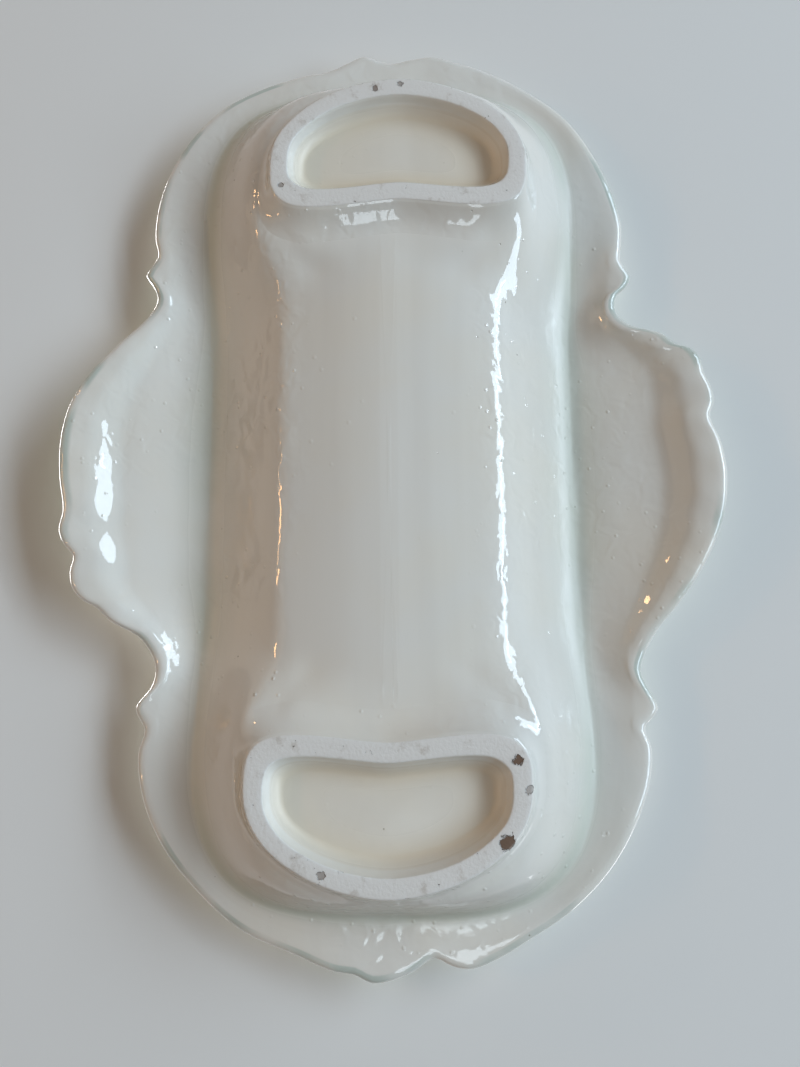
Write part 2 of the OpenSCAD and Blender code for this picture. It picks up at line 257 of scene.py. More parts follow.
def rows_at(table, place):
    """Rows of a ring table at fractional places, by a cubic that keeps each rise."""
    table = np.asarray(table, float)
    rise = np.diff(table, axis=0)
    slope = np.zeros_like(table)
    same = rise[:-1] * rise[1:] > 0
    mean = 2 * rise[:-1] * rise[1:] / np.where(same, rise[:-1] + rise[1:], 1)
    slope[1:-1] = np.where(same, mean, 0)
    slope[0], slope[-1] = rise[0], rise[-1]
    i = np.clip(np.floor(place).astype(int), 0, len(table) - 2)
    t = (place - i)[..., None]
    return (table[i] * (1 + 2 * t) * (1 - t) ** 2 + slope[i] * t * (1 - t) ** 2
            + table[i + 1] * t * t * (3 - 2 * t) - slope[i + 1] * t * t * (1 - t))


def turned_share(rows, x):
    """How far a ring has turned from its middle to its end values, from 0 to 1."""
    return ease((np.abs(x - body_shift) - rows[..., 6]) / (rows[..., 7] - rows[..., 6]))


def outside(rows, x, y):
    """The superellipse of a ring: under 1 inside it, 1 on it, over 1 outside."""
    past_straight = np.maximum(0, np.abs(x - body_shift) - rows[..., 5])
    along = past_straight / (rows[..., 3] - rows[..., 5])
    across = np.abs(y) / mix(rows[..., 0], rows[..., 2], turned_share(rows, x))
    return along ** end_power + across ** end_power


def ring_height(rows, x):
    """The height of a ring over x, turning from its middle height to its end height."""
    return mix(rows[..., 1], rows[..., 4], turned_share(rows, x))


def halved(test, shape):
    """The share from 0 to 1 at which test turns true, found for a whole array by
    halving its range 24 times."""
    low, high = np.zeros(shape), np.ones(shape)
    for _ in range(24):
        middle = (low + high) / 2
        over = test(middle)
        high = np.where(over, middle, high)
        low = np.where(over, low, middle)
    return (low + high) / 2


def ring_points(table, places):
    """Where every ray crosses the rings at the given places, as places x rays x 3."""
    rows = rows_at(table, places)[:, None, :]
    far = edge - spine

    def test(share):
        return outside(rows, spine[:, 0] + far[:, 0] * share, far[:, 1] * share) > 1

    share = halved(test, (len(places), rays))
    x = spine[:, 0] + far[:, 0] * share
    y = far[:, 1] * share
    return np.stack([x, y, ring_height(rows, x)], axis=-1)


def floor_height(y):
    """The height of the trough's floor: a shallow parabola."""
    return floor_bottom + floor_curve_share * floor_rise * (y / half_floor) ** 2


# The bottom's rings: shares of its half width, of the seat's width and of the way to
# the seat's end
bottom_shares = [(0.08, 0.056, 0.45), (0.36, 0.36, 0.58), (0.78, 0.73, 0.81), (1, 1, 1)]

# A wall's rings, outside and inside: shares of the way out and up at the middle, the
# same at the ends, and the two places where the one turns into the other, as shares
# of the straight half
wall_shares = [(0.2, 0.2, 0.12, 0.13, 0.76, 1.05), (0.56, 0.63, 0.57, 0.625, 0.6, 1.19),
               (0.88, 0.94, 0.9, 0.915, 0.51, 1.27), (1, 1, 1, 1, 0.455, 1.307)]
inner_shares = [(0.1, 0.13, 0.41, 0.09, 0.75, 1.14), (0.52, 0.67, 0.67, 0.43, 0.57, 1.25),
                (0.74, 0.915, 0.85, 0.84, 0.51, 1.27), (1, 1, 1, 1, 0.455, 1.307)]

# The floor's rings: shares of the way from its straight half to the crest's end
floor_shares = (0.18, 0.27, 0.43, 0.6)
floor_half_widths = [0.25 * spear_pitch, spear_pitch, 2 * spear_pitch, 3 * spear_pitch]
floor_lengths = [mix(floor_straight_half, crest_length, share) for share in floor_shares]
floor_edge, floor_end = floor_half_widths[-1], floor_lengths[-1]
low_floor = floor_height(spear_pitch)
floor_end_height = mix(low_floor, floor_height(floor_edge), floor_fall_share)

# The underside's rings, from the middle line to the crest
under_table = [
    ring((half_bottom * s, foot_height + floor_rise * s * s),
         (seat_width * w, mix(straight_half, seat_length, a), foot_height),
         straight_half, [t * straight_half for t in bottom_turn_shares])
    for s, w, a in bottom_shares] + [
    ring((mix(half_bottom, crest_width, w), mix(corner_height, crest_height, z)),
         (mix(seat_width, crest_end_width, we), mix(seat_length, crest_length, we),
          mix(foot_height, crest_end_height, ze)),
         straight_half, (t0 * straight_half, t1 * straight_half))
    for w, z, we, ze, t0, t1 in wall_shares]

# The inside's rings, from the middle line of the floor to the crest
top_table = [
    ring((y, floor_height(y)), (y, a, mix(low_floor, floor_height(y), floor_fall_share)),
         floor_straight_half, [t * floor_straight_half for t in floor_turn_shares])
    for y, a in zip(floor_half_widths, floor_lengths)] + [
    ring((mix(floor_edge, crest_width, w), mix(floor_height(floor_edge), dish_height, z)),
         (mix(floor_edge, crest_end_width, we), mix(floor_end, crest_length, we),
          mix(floor_end_height, crest_end_height + wall, ze)),
         mix(floor_straight_half, straight_half, z), (t0 * straight_half, t1 * straight_half))
    for w, z, we, ze, t0, t1 in inner_shares]


def kidney(angle, grow):
    """A foot ring's outline, grown by a length: an oval, squarer on its outer side than
    on its hollow one, whose ends are bent towards the dish's middle by a power of their
    distance from the middle."""
    power = np.where(np.cos(angle) > 0, outer_side_power, hollow_side_power)
    across = np.sign(np.sin(angle)) * np.abs(np.sin(angle)) ** power
    deep = np.sign(np.cos(angle)) * np.abs(np.cos(angle)) ** power
    y = (foot_width / 2 + grow) * across
    bent = foot_bend * np.abs(y / (foot_width / 2)) ** bend_power
    return np.stack([(foot_depth / 2 + grow) * deep - bent, y], axis=-1)


def inside_kidney(x, y, inset):
    """How deep points lie inside the foot rings: 0 from an outline drawn in by the inset
    outwards, and 1 well inside. The outline is close to a ring's own: thickness
    against distance from the bent middle, each to the third power."""
    deepest = np.zeros_like(x)
    for side, shift in ((1, foot_shift_a), (-1, foot_shift_b)):
        across = np.abs(y - shift) / (foot_width / 2 - inset)
        bent = foot_bend * np.minimum(across, 1) ** bend_power
        deep = side * (x - body_shift) - foot_centre + bent
        level = across ** 3 + np.abs(deep / (foot_depth / 2 - inset)) ** 3
        deepest = np.maximum(deepest, ease((1 - level) * 2.5))
    return deepest


def closed_piece(name, loops, marks):
    """A smooth piece through stacked closed loops, in millimetres, counter-clockwise
    seen from the first loop's outside. Each end is closed by a fan to its loop's
    mean, and marks gives a value to every point."""
    count, around = loops.shape[:2]
    index = np.arange(count * around).reshape(count, around)
    following = np.roll(index, -1, axis=1)
    quads = np.stack([index[:-1], following[:-1], following[1:], index[1:]], axis=-1)
    first, last = np.full(around, index.size), np.full(around, index.size + 1)
    fans = np.concatenate([np.stack([following[0], index[0], first], axis=-1),
                           np.stack([index[-1], following[-1], last], axis=-1)])
    points = np.concatenate([loops.reshape(-1, 3), loops[[0, -1]].mean(axis=1)])
    mesh = bpy.data.meshes.new(name)
    mesh.from_pydata((points * MM).tolist(), [], quads.reshape(-1, 4).tolist() + fans.tolist())
    for mark, values in marks.items():
        layer = mesh.attributes.new(mark, "FLOAT", "POINT")
        values = np.concatenate([values.ravel(), values[[0, -1]].mean(axis=1)])
        layer.data.foreach_set("value", values.astype(np.float32))
    mesh.polygons.foreach_set("use_smooth", np.ones(len(mesh.polygons), bool))
    mesh.update()
    piece = bpy.data.objects.new(name, mesh)
    bpy.context.scene.collection.objects.link(piece)
    return piece


def rim_drop(t, lobe):
    """How far the rim has come down at a share of its width: a smooth step round the
    ends, and on the lobes an even slope with a steeper band near the edge."""
    band = ease((t - band_start_share) / band_width_share)
    return mix(ease(t ** rim_bend_power), mix(t, band, band_share), lobe)


def softened(grid, first, last, rounds, around=False):
    """The grid with its rows first to last averaged with their neighbours, along the
    rays or around the dish, fading in and out over five rows."""
    smooth = grid.copy()
    for _ in range(rounds):
        inner = smooth[first:last]
        if around:
            before, after = np.roll(inner, 1, axis=1), np.roll(inner, -1, axis=1)
        else:
            before, after = smooth[first - 1:last - 1], smooth[first + 1:last + 1]
        smooth[first:last] = (before + 2 * inner + after) / 4
    row = np.arange(len(grid))[:, None, None]
    return mix(grid, smooth, ease((row - first + 1) / 5) * ease((last - row) / 5))


def filled_middle(loop, lowest):
    """Loops that shrink the given one towards its middle, from the smallest up, on a
    shallow parabola that starts at the lowest height."""
    scales = (np.linspace(0.03, 0.97, middle_rows) ** 0.45)[:, None]
    x = body_shift + (loop[:, 0] - body_shift) * scales
    return np.stack([x, loop[:, 1] * scales, mix(lowest, loop[:, 2], scales ** 2)], axis=-1)


def make_skin():
    """The body's rows of points, from the underside's middle line over the bottom,
    wall, crest and rim to the edge, and back over the top to the floor's middle."""
    under = ring_points(under_table, np.linspace(0, len(under_table) - 1, wall_rows))
    top = ring_points(top_table, np.linspace(0, len(top_table) - 1, inside_rows))
    crest = under[-1]
    flat = crest[:, :2]
    out = edge - flat
    reach = 1 - wall / 2 / np.linalg.norm(out, axis=1)
    lobe_reach = half_length * lobe_a_shares[0][0]
    lobe = np.maximum(0, 1 - (edge[:, 0] / lobe_reach) ** 2)
    low = edge_height - lobe_droop * lobe
    share = (np.arange(1, rim_rows) / rim_rows)[:, None]
    rim_xy = flat + out * (share * reach)[..., None]
    rim_z = crest[:, 2] - (crest[:, 2] - low) * rim_drop(share, np.sqrt(lobe))
    flutes = np.sin(np.arange(rays) * 2 * np.pi / flute_rays)
    flutes = flutes + flute_waver * waves(edge[:, 0], edge[:, 1], flute_waver_sizes)
    flutes = flutes * hump(share, flute_share, flute_width_share)
    rim_z = rim_z + flute_depth * np.sqrt(lobe) * flutes
    rim_under = np.concatenate([rim_xy, rim_z[..., None]], axis=-1)
    turn = np.linspace(-np.pi / 2, np.pi / 2, edge_rows)[:, None]
    bulge = np.cos(turn) ** edge_round_power
    edge_xy = flat + out * (reach + (1 - reach) * bulge)[..., None]
    edge_z = low + wall / 2 + wall / 2 * np.sin(turn)
    rim_edge = np.concatenate([edge_xy, edge_z[..., None]], axis=-1)
    rim_top = rim_under[::-1] + (0, 0, wall)
    return np.concatenate([filled_middle(under[0], foot_height), under, rim_under, rim_edge,
                           rim_top, top[::-1], filled_middle(top[0], floor_bottom)[::-1]])


# The dish's ends, where its corners are softened further: from here out, in millimetres
ends_start = 90
ends_fade = 40


def smooth_skin():
    """The skin with soft corners: first the underside's, from the bottom over the crest
    to the edge, and then the top's. Each step gives its first and last row, and how
    many times their points are averaged."""
    skin = make_skin()
    skin = softened(skin, middle_rows + 6, crest_row, 10)
    skin = softened(skin, middle_rows + 14, crest_row + 6, 30, around=True)
    skin = softened(skin, crest_row - 6, crest_row + 7, 4)
    ends = ease((np.abs(edge[:, 0]) - ends_start) / ends_fade)[:, None]
    skin = mix(skin, softened(skin, middle_rows + 16, crest_row + 20, 60), ends)
    skin = softened(skin, crest_row, edge_row - 4, 8, around=True)
    skin = softened(skin, edge_row - 6, edge_row + 3, 3)
    skin = softened(skin, edge_row + edge_rows + 6, len(skin) - 4, 8, around=True)
    return softened(skin, top_crest_row - 6, top_crest_row + 8, 12)


# Under a foot the body is drawn back by this much, from this far inside the foot's
# outline, and near one it lies calm. All in millimetres
draw_back = 4.0
foot_overlap = 3.0
calm_reach = 20


def make_body(skin):
    """The whole glazed body as one piece, slightly uneven, and drawn back under the
    feet, whose own floors show there. Its marks are counted in rows: the valley along
    the crest, the share of the rim's width, the front, and where the glaze ran."""
    grid = skin.copy()
    x, y = grid[..., 0], grid[..., 1]
    rows = np.arange(len(grid))[:, None] * np.ones(rays)
    underneath = rows < edge_row
    settle = settle_height * waves(x, y, settle_sizes) * (np.abs(rows - edge_row) > rim_rows)
    grid[..., 2] += draw_back * inside_kidney(x, y, foot_overlap) * underneath
    grid[..., 2] += settle * (1 - inside_kidney(x, y, -calm_reach) * underneath)
    grid[..., 2] = np.minimum(grid[..., 2], dish_height)
    from_edge = np.abs(rows - edge_row - edge_rows / 2) - edge_rows / 2
    valley = hump(rows, crest_row - 3, 9.0)
    edge_share = np.clip(1 - from_edge / rim_rows, 0, 1)
    front = ease((rows - edge_row - 4) / 4)
    ripple = ease((rows - middle_rows - 12) / 10) + hump(rows, middle_rows + 24, 5.0)
    return closed_piece("glazed_body", grid, {
        "valley": valley, "edge": edge_share, "front": front, "ripple": ripple})


# The part of the skin that a foot looks at: half its length and half its width, in
# millimetres, and the steepest slope that is carried along
near_reach = (50, 75)
steepest = 3


def skin_height(skin, x, y):
    """The underside's height at points: the weighted mean of the four nearest skin
    points' heights, each carried along the skin's slope there."""
    part = skin[middle_rows:crest_row + 12]
    by_row, by_ray = np.gradient(part, axis=0), np.gradient(part, axis=1)
    area = by_row[..., 0] * by_ray[..., 1] - by_row[..., 1] * by_ray[..., 0]
    area = np.where(np.abs(area) < 1e-4, 1e-4, area)
    slope_x = (by_row[..., 2] * by_ray[..., 1] - by_row[..., 1] * by_ray[..., 2]) / area
    slope_y = (by_row[..., 0] * by_ray[..., 2] - by_row[..., 2] * by_ray[..., 0]) / area
    near = ((np.abs(part[..., 0] - x.mean()) < near_reach[0])
            & (np.abs(part[..., 1] - y.mean()) < near_reach[1]))
    spots = part[near]
    slope_x = np.clip(slope_x[near], -steepest, steepest)
    slope_y = np.clip(slope_y[near], -steepest, steepest)
    spread = (x[..., None] - spots[:, 0]) ** 2 + (y[..., None] - spots[:, 1]) ** 2
    nearest = np.argpartition(spread, 4, axis=-1)[..., :4]
    spot = spots[nearest]
    weight = 1 / (np.take_along_axis(spread, nearest, axis=-1) + 0.05)
    climb = (x[..., None] - spot[..., 0]) * slope_x[nearest]
    climb = climb + (y[..., None] - spot[..., 1]) * slope_y[nearest]
    return np.sum(weight * (spot[..., 2] + climb), axis=-1) / weight.sum(axis=-1)


# The bare face's rows, in millimetres: how far each lies in from the ring's outline,
# and how high
face_rows = [(0, 0.28), (0.25, 0.09), (0.7, 0), (2.4, 0), (4.4, 0),
             (foot_face - 0.7, 0), (foot_face - 0.25, 0.09), (foot_face, 0.3)]

# A foot's lid, hidden in the clay: its least height over the foot and over the skin
lid_over_foot = 2.6
lid_over_skin = 2.0


def make_foot(name, skin, side, shift):
    """A foot ring: its kidney outline grown and shrunk row by row. From the bare face
    the glazed sides rise as 1 - (1 - t)^2.6 and run out level with the body, and the
    recess inside has a rounded corner, 1 - (1 - t)^2, and a nearly flat floor."""
    angle = (np.arange(foot_columns) + 0.5) / foot_columns * 2 * np.pi
    spread = skirt_run + hollow_skirt_run * np.maximum(0, -np.cos(angle)) ** 1.5
    recess = foot_height + recess_extra

    def placed(grow, height):
        flat = kidney(angle, grow)
        x = side * (foot_centre + flat[:, 0]) + body_shift
        return np.column_stack([x, side * flat[:, 1] + shift, height * np.ones(foot_columns)])

    rise = np.linspace(0, 1, 18)[1:]
    outer = np.stack([placed(spread * t, 0) for t in [*rise, 1.12]])
    body_height = skin_height(skin, outer[..., 0], outer[..., 1])
    climb = np.append(1 - (1 - rise) ** 2.6, 1)[:, None]
    outer[..., 2] = body_height * climb + np.append(0.1 * rise ** 3, 1.0)[:, None]
    uneven = face_waver * waves(np.cos(angle) * 40, np.sin(angle) * 40, (33, 21))
    face = np.stack([placed(uneven - inset, height) for inset, height in face_rows])
    corner = mix(face_rows[-1][1], recess, 1 - (1 - rise) ** 2)
    inner = np.stack([placed(-foot_face - recess_wall_run * t, z) for t, z in zip(rise, corner)])
    middle = np.array([side * (foot_centre - recess_middle_shift) + body_shift, shift, 0])
    inwards = np.linspace(0, 1, 14)[1:-1]
    floor = np.stack([mix(inner[-1], middle, t) for t in inwards])
    floor[..., 2] = mix(recess, recess - recess_dish, ease(inwards))[:, None]
    lid = np.stack([mix(outer[-1], middle, t) for t in np.linspace(0.06, 0.96, 7)])
    lid_height = skin_height(skin, lid[..., 0], lid[..., 1]) + lid_over_skin
    lid[..., 2] = np.maximum(lid_height, foot_height + lid_over_foot)
    grid = np.concatenate([floor[::-1], inner[::-1], face[::-1], outer, lid])
    rows = np.arange(len(grid))[:, None] * np.ones(foot_columns)
    first_face = len(floor) + len(inner)
    first_outer = first_face + len(face)
    bare = ((rows > first_face) & (rows < first_outer - 1)) * 1.0
    pool = (0.35 + 0.65 * hump(rows, len(floor) + 3, 6.0)) * (rows < first_face - 4)
    ripple = mix(0.2, 1.0, rows >= first_outer)
    return closed_piece(name, grid, {"bare": bare, "pool": pool, "ripple": ripple})


# The moulded spears, in millimetres, and how much of the room each leaves at its ends
spear_radius = 5.4
stem_radius = 0.9 * spear_radius
head_length = 44.0
scale_height = 0.62
rib_height = 0.07
spear_end_gap = 4.0
spear_room = 2 * (floor_straight_half - spear_end_gap)
spear_free_shares = [(0.05, 0.1), (0, 0.03), (0.06, 0), (0.02, 0.045), (0.07, 0.01), (0, 0.08)]
spear_columns = 64
spear_rows = 150


def bracts(along, around, rows, first, pitch, count, length, wide):
    """Overlapping pointed scales: each stands out most near its tip and fades at its
    foot, and each row is turned on by about the golden angle. along is millimetres
    from the butt, around is the angle over the spear."""
    height = np.zeros(np.broadcast(along, around).shape)
    for row in range(rows):
        tip = first + pitch * row + length
        turn = 2.4 * row
        for k in range(count):
            angle = np.angle(np.exp(1j * (around - turn - 2 * np.pi * k / count)))
            back = np.clip((tip - along) / length, 0, 1)
            shape = wide * np.sqrt(back) * (1.15 - 0.25 * back)
            within = ease((shape - np.abs(angle)) / 0.16)
            scale = within * (1 - back) ** 0.8 * ease(back * 9)
            height = np.maximum(height, scale)
    return height


def make_spear(number):
    """A half-round spear: radius along its length from the stem's swell and the
    head's taper, with scales laid over it, leaning with the floor it lies on."""
    side = 1 if number > 3 else -1
    strip = number - 3 if side > 0 else 4 - number
    outer = np.array([spear_pitch * strip, floor_height(spear_pitch * strip)])
    inner = np.array([spear_pitch * (strip - 1), floor_height(spear_pitch * max(1, strip - 1))])
    lean = side * np.arctan2(*(outer - inner)[::-1])
    middle = (outer + inner) / 2
    free = spear_free_shares[number - 1]
    length = spear_room * (1 - free[0] - free[1])
    start = body_shift - spear_room / 2 + spear_room * free[0]
    along = np.linspace(0, 1, spear_rows)[:, None] ** 0.9 * length
    around = (np.arange(spear_columns) / spear_columns * 2 * np.pi)[None, :]
    stem = length - head_length
    head = np.clip((along - stem) / head_length, 0, 1)
    radius = stem_radius * (1 - 0.72 * head ** 2.6)
    radius = radius * ease(along / 1.5 + 0.55) * np.sqrt(np.clip(1.002 - head ** 7, 0, 1))
    seed = 1.3 * number
    stem_buds = bracts(along, around + seed, rows=4, first=stem * 0.12, pitch=stem * 0.21,
                       count=2, length=17, wide=0.62)
    head_scales = bracts(along, around + seed, rows=9, first=stem - 9, pitch=4.6,
                         count=3, length=15, wide=0.95)
    relief = scale_height * np.maximum(stem_buds * (along < stem), head_scales)
    radius = radius + relief * ease(radius / 2.2) * (1 - head ** 3)
    ribs = rib_height * np.cos(9 * around + seed) * (along < stem)
    radius = np.minimum(radius + ribs, spear_radius)
    across = radius * np.cos(around)
    up = radius * np.sin(around)
    up = np.where(up > 0, up, up * 0.02)
    x = start + along * np.ones_like(around)
    y = side * middle[0] + across * np.cos(lean) - up * np.sin(lean)
    z = middle[1] + across * np.sin(lean) + up * np.cos(lean)
    grid = np.stack([x, y, z], axis=-1)
    share = along / length * np.ones_like(around)
    return closed_piece(f"moulded_spear_{number}", grid, {"along": share, "relief": relief})


class Shade:
    """A shader socket that can be used in expressions: each operator adds a Math node."""

    def __init__(self, tree, socket):
        self.tree, self.socket = tree, socket

    def math(self, operation, *others):
        values = dict(enumerate((self,) + others))
        return self.tree.node("ShaderNodeMath", {"operation": operation}, values)

    def __add__(self, other):
        return self.math("ADD", other)

    def __sub__(self, other):
        return self.math("SUBTRACT", other)

    def __rsub__(self, other):
        return (self * -1) + other

    def __mul__(self, other):
        return self.math("MULTIPLY", other)

    __radd__ = __add__
    __rmul__ = __mul__

    def over(self, low, high):
        """0 under low, 1 over high, and a smooth step between."""
        return self.tree.node("ShaderNodeMapRange", {"interpolation_type": "SMOOTHSTEP"},
                              {"Value": self, "From Min": low, "From Max": high})


class Tree:
    """A material's or the world's nodes."""

    def __init__(self, owner):
        owner.use_nodes = True
        self.nodes, self.links = owner.node_tree.nodes, owner.node_tree.links
        self.nodes.clear()

    def node(self, kind, settings=None, inputs=None, output=0):
        """Adds a node, sets its settings and its sockets' values or links."""
        made = self.nodes.new(kind)
        for name, value in (settings or {}).items():
            setattr(made, name, value)
        for name, value in (inputs or {}).items():
            if isinstance(value, Shade):
                self.links.new(value.socket, made.inputs[name])
            else:
                made.inputs[name].default_value = value
        return Shade(self, made.outputs[output]) if made.outputs else made

    def mark(self, name):
        """A value that the mesh carries on its points."""
        return self.node("ShaderNodeAttribute", {"attribute_name": name}, output=2)

    def place(self, stretch=(1, 1, 1)):
        """Object coordinates, each axis multiplied by its stretch."""
        here = self.node("ShaderNodeTexCoord", output=3)
        return self.node("ShaderNodeVectorMath", {"operation": "MULTIPLY"}, {0: here, 1: stretch})

    def near(self, spot, size):
        """1 close to a spot given in millimetres, and 0 beyond about its size, with a
        ragged outline."""
        here = self.node("ShaderNodeTexCoord", output=3)
        away = self.node("ShaderNodeVectorMath", {"operation": "DISTANCE"},
                         {0: here, 1: tuple(v * MM for v in spot)}, output=1)
        ragged = away + (self.noise(520, 3, 0.7) - 0.5) * size * 1.6 * MM
        return 1 - ragged.over(size * 0.55 * MM, size * 0.75 * MM)

    def noise(self, scale, detail=2.0, roughness=0.5, distortion=0.0, stretch=(1, 1, 1)):
        """Noise on Object coordinates, centred on a half."""
        return self.node("ShaderNodeTexNoise", {}, {
            "Vector": self.place(stretch), "Scale": scale, "Detail": detail,
            "Roughness": roughness, "Distortion": distortion})

    def dots(self, scale, low, high):
        """1 in small dots, one to a cell, and 0 beyond them."""
        cell = self.node("ShaderNodeTexVoronoi", {}, {"Vector": self.place(), "Scale": scale})
        return 1 - cell.over(low, high)

    def tint(self, factor, base, colour):
        """base with colour laid over it by a factor. A colour is three numbers or a Shade."""
        base, colour = (c if isinstance(c, Shade) else (*c, 1) for c in (base, colour))
        return self.node("ShaderNodeMix", {"data_type": "RGBA"},
                         {0: factor, 6: base, 7: colour}, output=2)

    def finish(self, colour, roughness, height, relief, ior):
        """The Principled shader, with a Bump node of the given relief for its normal."""
        normal = self.node("ShaderNodeBump", {}, {
            "Height": height, "Distance": relief, "Strength": 1.0})
        surface = self.node("ShaderNodeBsdfPrincipled", {}, {
            "Base Color": colour, "Roughness": roughness, "Normal": normal, "IOR": ior})
        self.node("ShaderNodeOutputMaterial", {}, {"Surface": surface})


cream = (0.745, 0.72, 0.665)
warm_cream = (0.76, 0.68, 0.55)
cool_grey = (0.66, 0.67, 0.65)
pinhole_brown = (0.30, 0.26, 0.20)
# Greenish and darker: glaze pooled in the valley, with painted shade in the crease
pooled_green_and_shade = (0.42, 0.46, 0.38)
pooled_yellow = (0.66, 0.57, 0.43)
edge_teal = (0.20, 0.34, 0.29)
rim_green = (0.40, 0.56, 0.44)
bare_clay = (0.75, 0.725, 0.69)
kiln_dirt = (0.42, 0.36, 0.30)
chip_brown = (0.10, 0.055, 0.03)
stem_cream = (0.70, 0.69, 0.50)
stem_green = (0.33, 0.47, 0.20)
head_violet = (0.34, 0.20, 0.30)
scale_green = (0.56, 0.58, 0.36)

# How high the glaze's relief stands, in metres, and how strongly it bends light
glaze_relief = 0.0016
spear_relief = 0.001
glaze_ior = 1.6
spear_ior = 1.5


def cream_glaze(tree, ripple):
    """Cream glaze with a faint cloudiness and lengthwise streaks, and a height that
    holds its long ripples, short ripples in patches, beads, droplets and pinholes.
    ripple is 0 where the glaze lies smooth and 1 where it ran."""
    colour = tree.tint(tree.noise(26, 3).over(0.35, 0.75) * 0.35, cream, warm_cream)
    colour = tree.tint(tree.noise(9, 2).over(0.45, 0.7) * 0.25, colour, cool_grey)
    streaks = tree.noise(60, 3, stretch=(0.06, 1, 1)).over(0.4, 0.75)
    colour = tree.tint(streaks * 0.12, colour, kiln_dirt)
    pinhole = tree.dots(210, 0.05, 0.09) * tree.noise(75, 1).over(0.66, 0.7)
    colour = tree.tint(pinhole * 0.75, colour, pinhole_brown)
    patches = tree.noise(18, 2).over(0.42, 0.62)
    long_ripples = tree.noise(42, 1) * (ripple * 0.10 + 0.05)
    short_ripples = tree.noise(150, 1, 0.5, 0.6) * (patches * 0.15 + 0.04) * ripple
    beads = tree.dots(190, 0.0, 0.17) * tree.noise(24, 2).over(0.44, 0.54) * ripple * 0.11
    droplets = tree.dots(120, 0.0, 0.13) * tree.noise(30, 2).over(0.54, 0.62) * 0.05
    height = long_ripples + short_ripples + beads + droplets - pinhole * 0.05
    return colour, height


def body_material():
    """Cream glaze, greenish and darker in the valley beside the trough: pooled glaze,
    with painted shade in the crease. A thin teal line here and there on the edge and a
    green wash round the front."""
    material = bpy.data.materials.new("cream_body_glaze")
    tree = Tree(material)
    colour, height = cream_glaze(tree, tree.mark("ripple"))
    valley = tree.mark("valley")
    # The valley's tint is pooled green glaze and also painted shade darkening the crease
    pooled_and_shade = valley * (tree.noise(14, 3).over(0.36, 0.56) * 0.3 + 0.3)
    colour = tree.tint(pooled_and_shade, colour, pooled_green_and_shade)
    rim = tree.mark("edge")
    line = rim.over(0.955, 0.995) * tree.noise(32, 2).over(0.46, 0.62)
    colour = tree.tint(line * 0.45, colour, edge_teal)
    wash = rim.over(0.45, 0.95) * tree.mark("front") * tree.noise(30, 3).over(0.2, 0.6)
    colour = tree.tint(wash * 0.75, colour, rim_green)
    roughness = tree.noise(60, 2) * 0.04 + valley * 0.5 + 0.02
    tree.finish(colour, roughness, height, glaze_relief, glaze_ior)
    return material


# Chips and dirt on the standing faces: place in millimetres, size, and depth of colour
foot_chips = [((-101.9, 42.0, 0), 2.6, 1.0), ((-128.0, 38.0, 0), 3.8, 1.0),
              ((-137.8, -22.6, 0), 2.0, 0.6), ((-111.4, 45.6, 0), 2.2, 0.5),
              ((144.4, -4.2, 0), 1.7, 0.75), ((146.0, 5.1, 0), 1.5, 0.6),
              ((105.2, -39.4, 0), 1.6, 0.6)]


def foot_material():
    """Glazed sides, a bare standing face with chips and kiln dirt, and glaze pooled
    yellowish and duller in the recess."""
    material = bpy.data.materials.new("foot_ring_glaze")
    tree = Tree(material)
    colour, height = cream_glaze(tree, tree.mark("ripple"))
    pool = tree.mark("pool")
    colour = tree.tint(pool * 0.75, colour, pooled_yellow)
    bare = tree.mark("bare")
    colour = tree.tint(bare, colour, bare_clay)
    dirt = tree.noise(150, 4, 0.7).over(0.53, 0.72) * bare
    colour = tree.tint(dirt * 0.5, colour, kiln_dirt)
    speck = tree.noise(230, 4, 0.8).over(0.66, 0.70) * bare
    colour = tree.tint(speck * 0.8, colour, chip_brown)
    grain = tree.noise(900, 2) * 0.08 * bare
    height = height + grain - speck * 0.2
    for spot, size, depth in foot_chips:
        chip = tree.near(spot, size)
        colour = tree.tint(chip * depth, colour, chip_brown)
        height = height - chip * 0.5
    roughness = bare * 0.65 + pool * 0.5 + 0.04
    tree.finish(colour, roughness, height, glaze_relief, glaze_ior)
    return material


def spear_material():
    """Cream stems that turn green and then violet towards the head, with paler glaze
    on the scales."""
    material = bpy.data.materials.new("spear_glaze")
    tree = Tree(material)
    along = tree.mark("along") + tree.noise(60, 3) * 0.25
    scales = tree.mark("relief").over(0.05, 0.5)
    colour = tree.tint(along.over(0.3, 0.75), stem_cream, stem_green)
    colour = tree.tint(along.over(0.82, 1.12), colour, head_violet)
    colour = tree.tint(scales * 0.5, colour, scale_green)
    roughness = tree.noise(80, 2) * 0.08 + 0.08
    tree.finish(colour, roughness, tree.noise(140, 2) * 0.05, spear_relief, spear_ior)
    return material


def place_piece(piece, finish, slot, *nodes):
    """Gives a piece its finish, hangs it on the root and hides the nodes that it stands for; its
    slot is not used.
    """
    piece.data.materials.append(finish)
    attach(piece, "root")
    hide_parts(*nodes)


skin = smooth_skin()
place_piece(make_body(skin), body_material(), "cream_glaze",
            "trough", "end_rim_a", "end_rim_b", "side_lobe_a", "side_lobe_b")

foot_finish = foot_material()
for end, side, shift in (("a", 1, foot_shift_a), ("b", -1, foot_shift_b)):
    foot = make_foot(f"glazed_foot_{end}", skin, side, shift)
    place_piece(foot, foot_finish, "foot_glaze", f"foot_ring_{end}")

spear_finish = spear_material()
for number in range(1, len(spear_free_shares) + 1):
    place_piece(make_spear(number), spear_finish, "spear_glaze", f"asparagus_spear_{number}")


# The pale floor below and the pale plane above, both in metres
stage_half = 4.0
stage_colour = (0.80, 0.79, 0.77)
floor_gap = 0.0002
behind_gap = 0.0006


